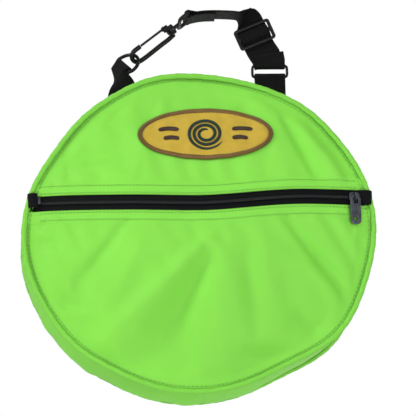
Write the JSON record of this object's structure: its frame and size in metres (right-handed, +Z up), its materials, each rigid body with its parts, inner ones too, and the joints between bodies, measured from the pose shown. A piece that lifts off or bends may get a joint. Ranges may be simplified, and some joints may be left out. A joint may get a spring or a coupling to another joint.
{
  "type": "rope storage bag",
  "caption": "Round soft zip bag for coiled rope: side band between two round panels, level front zip, oval patch, webbing carry handle with snap hook.",
  "frame": {"origin": "centre of the back panel's outer face", "axes": "+Z up towards the handle, -Y out of the front with the zip, +X to the slider's closed end"},
  "size_m": [0.3512, 0.1045, 0.4017],
  "materials": {
    "green_nylon": "coated woven nylon, bright lime green",
    "green_trim": "green nylon piping",
    "black_webbing": "black nylon webbing",
    "zip_tape": "black woven zip tape",
    "zip_coil": "black nylon coil",
    "binding": "black grosgrain binding",
    "patch_field": "golden yellow embroidered twill",
    "patch_border": "brown overlocked thread",
    "slider_metal": "dark gunmetal, satin",
    "hook_metal": "black-coated metal, satin"
  },
  "bodies": {
    "bag": {"back_panel": "green_nylon", "gusset": "green_nylon", "back_piping": "green_trim", "back_binding": "binding"},
    "front": {"front_upper_panel": "green_nylon", "front_lower_panel": "green_nylon", "front_upper_hem": "green_nylon", "front_lower_hem": "green_nylon", "zip_tape_upper": "zip_tape", "zip_tape_lower": "zip_tape", "front_piping": "green_trim", "front_binding": "binding", "zip_end_tab_left": "zip_tape", "zip_end_tab_right": "zip_tape", "zip_stop": "slider_metal", "patch_field": "patch_field", "patch_border": "patch_border"},
    "upper_lip": {"zip_coil_upper": "zip_coil"},
    "lower_lip": {"zip_coil_lower": "zip_coil"},
    "slider": {"zip_slider": "slider_metal"},
    "pull": {"pull_tab": "slider_metal"},
    "handle_feet": {"left_tab_base": "black_webbing", "right_tab_base": "black_webbing", "left_tab_backing": "binding", "right_tab_backing": "binding"},
    "handle": {"left_tab_loop": "black_webbing", "right_tab_loop": "black_webbing", "right_ring": "hook_metal", "strap": "black_webbing", "swivel_eye": "hook_metal"},
    "link": {"link_ring": "hook_metal"},
    "hook": {"hook_body": "hook_metal"},
    "gate": {"hook_gate": "hook_metal"},
    "strap_adjuster": {"adjuster": "hook_metal", "strap_return": "black_webbing"}
  },
  "joints": [
    {"name": "front_flatten", "type": "slide", "parent": "bag", "child": "front", "axis": [0, 1, 0], "range_m": [0, 0.045]},
    {"name": "feet_follow", "type": "slide", "parent": "bag", "child": "handle_feet", "axis": [0, 1, 0], "range_m": [0, 0.0225]},
    {"name": "zip_travel", "type": "hinge", "parent": "front", "child": "slider", "pos_m": [0, 0.48918, 0.034], "axis": [0, 0, 1], "range_deg": [-29.5, 0]},
    {"name": "pull_swing", "type": "hinge", "parent": "slider", "child": "pull", "pos_m": [0.15501, -0.08826, 0.034], "axis": [0.9667, 0.2559, 0], "range_deg": [-165, 0]},
    {"name": "upper_lip_part", "type": "hinge", "parent": "front", "child": "upper_lip", "pos_m": [0, -0.0805, 0.034], "axis": [-1, 0, 0], "range_deg": [0, 59], "deforming": ["zip_tape_upper", "front_upper_hem"]},
    {"name": "lower_lip_part", "type": "hinge", "parent": "front", "child": "lower_lip", "pos_m": [0, -0.0805, 0.034], "axis": [1, 0, 0], "range_deg": [0, 59], "deforming": ["zip_tape_lower", "front_lower_hem"]},
    {"name": "handle_fold", "type": "hinge", "parent": "handle_feet", "child": "handle", "pos_m": [0, -0.04, 0.1606], "axis": [1, 0, 0], "range_deg": [-75, 75]},
    {"name": "link_play", "type": "hinge", "parent": "handle", "child": "link", "pos_m": [-0.07, -0.04, 0.18], "axis": [0.4684, -0.6428, -0.6062], "range_deg": [-2, 2]},
    {"name": "hook_swivel", "type": "hinge", "parent": "handle", "child": "hook", "pos_m": [-0.07, -0.04, 0.18], "axis": [0.7913, 0, 0.6114], "range_deg": [-12, 20]},
    {"name": "gate_press", "type": "hinge", "parent": "hook", "child": "gate", "pos_m": [-0.02887, -0.04356, 0.2182], "axis": [-0.3507, 0.8192, 0.4539], "range_deg": [0, 18]},
    {"name": "adjuster_slide", "type": "slide", "parent": "handle", "child": "strap_adjuster", "axis": [0.3802, 0, -0.9249], "range_m": [-0.002, 0.006]}
  ],
  "couplings": [
    {"joint": "feet_follow", "follows": "front_flatten", "ratio": 0.5},
    {"joint": "upper_lip_part", "follows": "zip_travel", "ratio": -2},
    {"joint": "lower_lip_part", "follows": "zip_travel", "ratio": -2}
  ]
}
